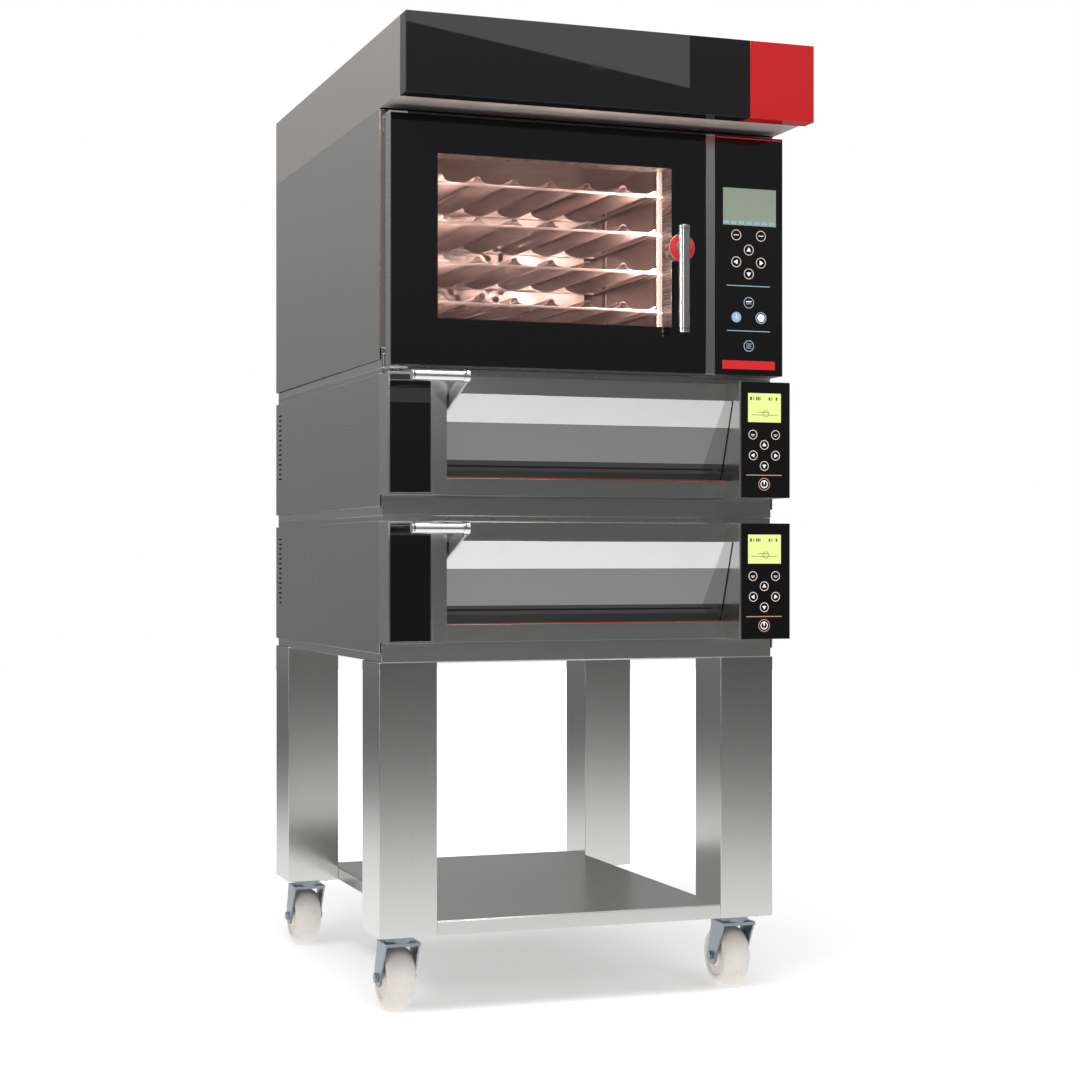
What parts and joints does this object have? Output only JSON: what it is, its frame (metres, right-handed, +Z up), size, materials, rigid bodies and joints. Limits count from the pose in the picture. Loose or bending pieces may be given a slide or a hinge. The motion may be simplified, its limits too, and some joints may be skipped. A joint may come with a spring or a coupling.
{
  "type": "stacked deck and convection oven",
  "caption": "Bakery oven stack: tilting-door deck ovens, a convection oven with wavy trays, a hood on top and an open stand on castors.",
  "frame": {"origin": "on the floor under the middle of the machine's box", "axes": "+X to the machine's right seen from the front, +Y to the back, +Z up"},
  "size_m": [0.92, 1.2374, 2.152],
  "materials": {
    "stainless_steel": "satin",
    "polished_steel": "polished",
    "zinc_plated_steel": "satin",
    "black_glass": "gloss",
    "red_panel": "gloss",
    "clear_glass": "gloss",
    "baking_stone": "matte",
    "silicone_seal": "matte",
    "display": "gloss",
    "circuit_board": "matte",
    "mineral_wool": "matte",
    "black_plastic": "matte",
    "heater_sheath": "matte",
    "motor_casting": "satin",
    "tray_aluminium": "satin",
    "wheel_nylon": "satin"
  },
  "bodies": {
    "stack": {"stand_legs": "stainless_steel", "stand_shelf": "stainless_steel", "stand_top_frame": "stainless_steel", "castor_plates": "zinc_plated_steel", "baking_stones": "baking_stone", "deck_heaters": "heater_sheath", "convection_base": "stainless_steel", "convection_casing": "stainless_steel", "convection_chamber": "stainless_steel", "convection_gasket": "silicone_seal", "convection_baffle": "stainless_steel", "convection_motor": "motor_casting", "convection_heater": "heater_sheath", "convection_tray_rails": "stainless_steel", "convection_trays": "tray_aluminium", "convection_front_post": "stainless_steel", "convection_control_box": "stainless_steel", "convection_control_glass": "black_glass", "convection_hinges": "zinc_plated_steel", "hood_shell": "stainless_steel", "hood_fascia": "black_glass", "hood_badge": "red_panel", "hood_filter": "stainless_steel", "exhaust_collar": "stainless_steel", "rear_panels": "stainless_steel", "cable_glands": "black_plastic", "displays": "display", "control_boards": "circuit_board", "insulation": "mineral_wool", "lower_deck_base": "stainless_steel", "lower_deck_casing": "stainless_steel", "lower_deck_control_box": "stainless_steel", "lower_deck_chamber": "stainless_steel", "lower_deck_front_frame": "stainless_steel", "lower_deck_glass_panels": "black_glass", "upper_deck_base": "stainless_steel", "upper_deck_casing": "stainless_steel", "upper_deck_control_box": "stainless_steel", "upper_deck_chamber": "stainless_steel", "upper_deck_front_frame": "stainless_steel", "upper_deck_glass_panels": "black_glass"},
    "castor_front_left_swivel": {"castor_front_left_fork": "zinc_plated_steel"},
    "castor_front_left_roller": {"castor_front_left_wheel": "wheel_nylon"},
    "castor_front_right_swivel": {"castor_front_right_fork": "zinc_plated_steel"},
    "castor_front_right_roller": {"castor_front_right_wheel": "wheel_nylon"},
    "castor_rear_left_swivel": {"castor_rear_left_fork": "zinc_plated_steel"},
    "castor_rear_left_roller": {"castor_rear_left_wheel": "wheel_nylon"},
    "castor_rear_right_swivel": {"castor_rear_right_fork": "zinc_plated_steel"},
    "castor_rear_right_roller": {"castor_rear_right_wheel": "wheel_nylon"},
    "lower_deck_door": {"lower_deck_door_leaf": "polished_steel", "lower_deck_door_glass": "clear_glass", "lower_deck_door_handle": "stainless_steel"},
    "upper_deck_door": {"upper_deck_door_leaf": "polished_steel", "upper_deck_door_glass": "clear_glass", "upper_deck_door_handle": "stainless_steel"},
    "oven_door": {"convection_door_frame": "stainless_steel", "convection_outer_glass": "clear_glass", "convection_inner_glass": "clear_glass"},
    "oven_door_lever": {"convection_door_handle": "stainless_steel"},
    "fan": {"convection_impeller": "tray_aluminium"}
  },
  "joints": [
    {"name": "front_left_castor_swivel", "type": "hinge", "parent": "stack", "child": "castor_front_left_swivel", "pos_m": [-0.396, -0.34375, 0.143], "axis": [0, 0, 1], "continuous": true},
    {"name": "front_left_castor_roll", "type": "hinge", "parent": "castor_front_left_swivel", "child": "castor_front_left_roller", "pos_m": [-0.396, -0.30625, 0.07], "axis": [1, 0, 0], "continuous": true},
    {"name": "front_right_castor_swivel", "type": "hinge", "parent": "stack", "child": "castor_front_right_swivel", "pos_m": [0.396, -0.34375, 0.143], "axis": [0, 0, 1], "continuous": true},
    {"name": "front_right_castor_roll", "type": "hinge", "parent": "castor_front_right_swivel", "child": "castor_front_right_roller", "pos_m": [0.396, -0.30625, 0.07], "axis": [1, 0, 0], "continuous": true},
    {"name": "rear_left_castor_swivel", "type": "hinge", "parent": "stack", "child": "castor_rear_left_swivel", "pos_m": [-0.396, 0.51125, 0.143], "axis": [0, 0, 1], "continuous": true},
    {"name": "rear_left_castor_roll", "type": "hinge", "parent": "castor_rear_left_swivel", "child": "castor_rear_left_roller", "pos_m": [-0.396, 0.54875, 0.07], "axis": [1, 0, 0], "continuous": true},
    {"name": "rear_right_castor_swivel", "type": "hinge", "parent": "stack", "child": "castor_rear_right_swivel", "pos_m": [0.396, 0.51125, 0.143], "axis": [0, 0, 1], "continuous": true},
    {"name": "rear_right_castor_roll", "type": "hinge", "parent": "castor_rear_right_swivel", "child": "castor_rear_right_roller", "pos_m": [0.396, 0.54875, 0.07], "axis": [1, 0, 0], "continuous": true},
    {"name": "lower_deck_door_tilt", "type": "hinge", "parent": "stack", "child": "lower_deck_door", "pos_m": [0, -0.4545, 1.004], "axis": [1, 0, 0], "range_deg": [0, 60]},
    {"name": "upper_deck_door_tilt", "type": "hinge", "parent": "stack", "child": "upper_deck_door", "pos_m": [0, -0.4545, 1.3165], "axis": [1, 0, 0], "range_deg": [0, 60]},
    {"name": "oven_door_swing", "type": "hinge", "parent": "stack", "child": "oven_door", "pos_m": [-0.432, -0.45375, 1.648], "axis": [0, 0, -1], "range_deg": [0, 120]},
    {"name": "oven_door_lever_turn", "type": "hinge", "parent": "oven_door", "child": "oven_door_lever", "pos_m": [0.196, -0.48375, 1.656], "axis": [0, 1, 0], "range_deg": [0, 90]},
    {"name": "fan_spin", "type": "hinge", "parent": "stack", "child": "fan", "pos_m": [-0.103, 0.16025, 1.662], "axis": [0, 1, 0], "continuous": true}
  ]
}
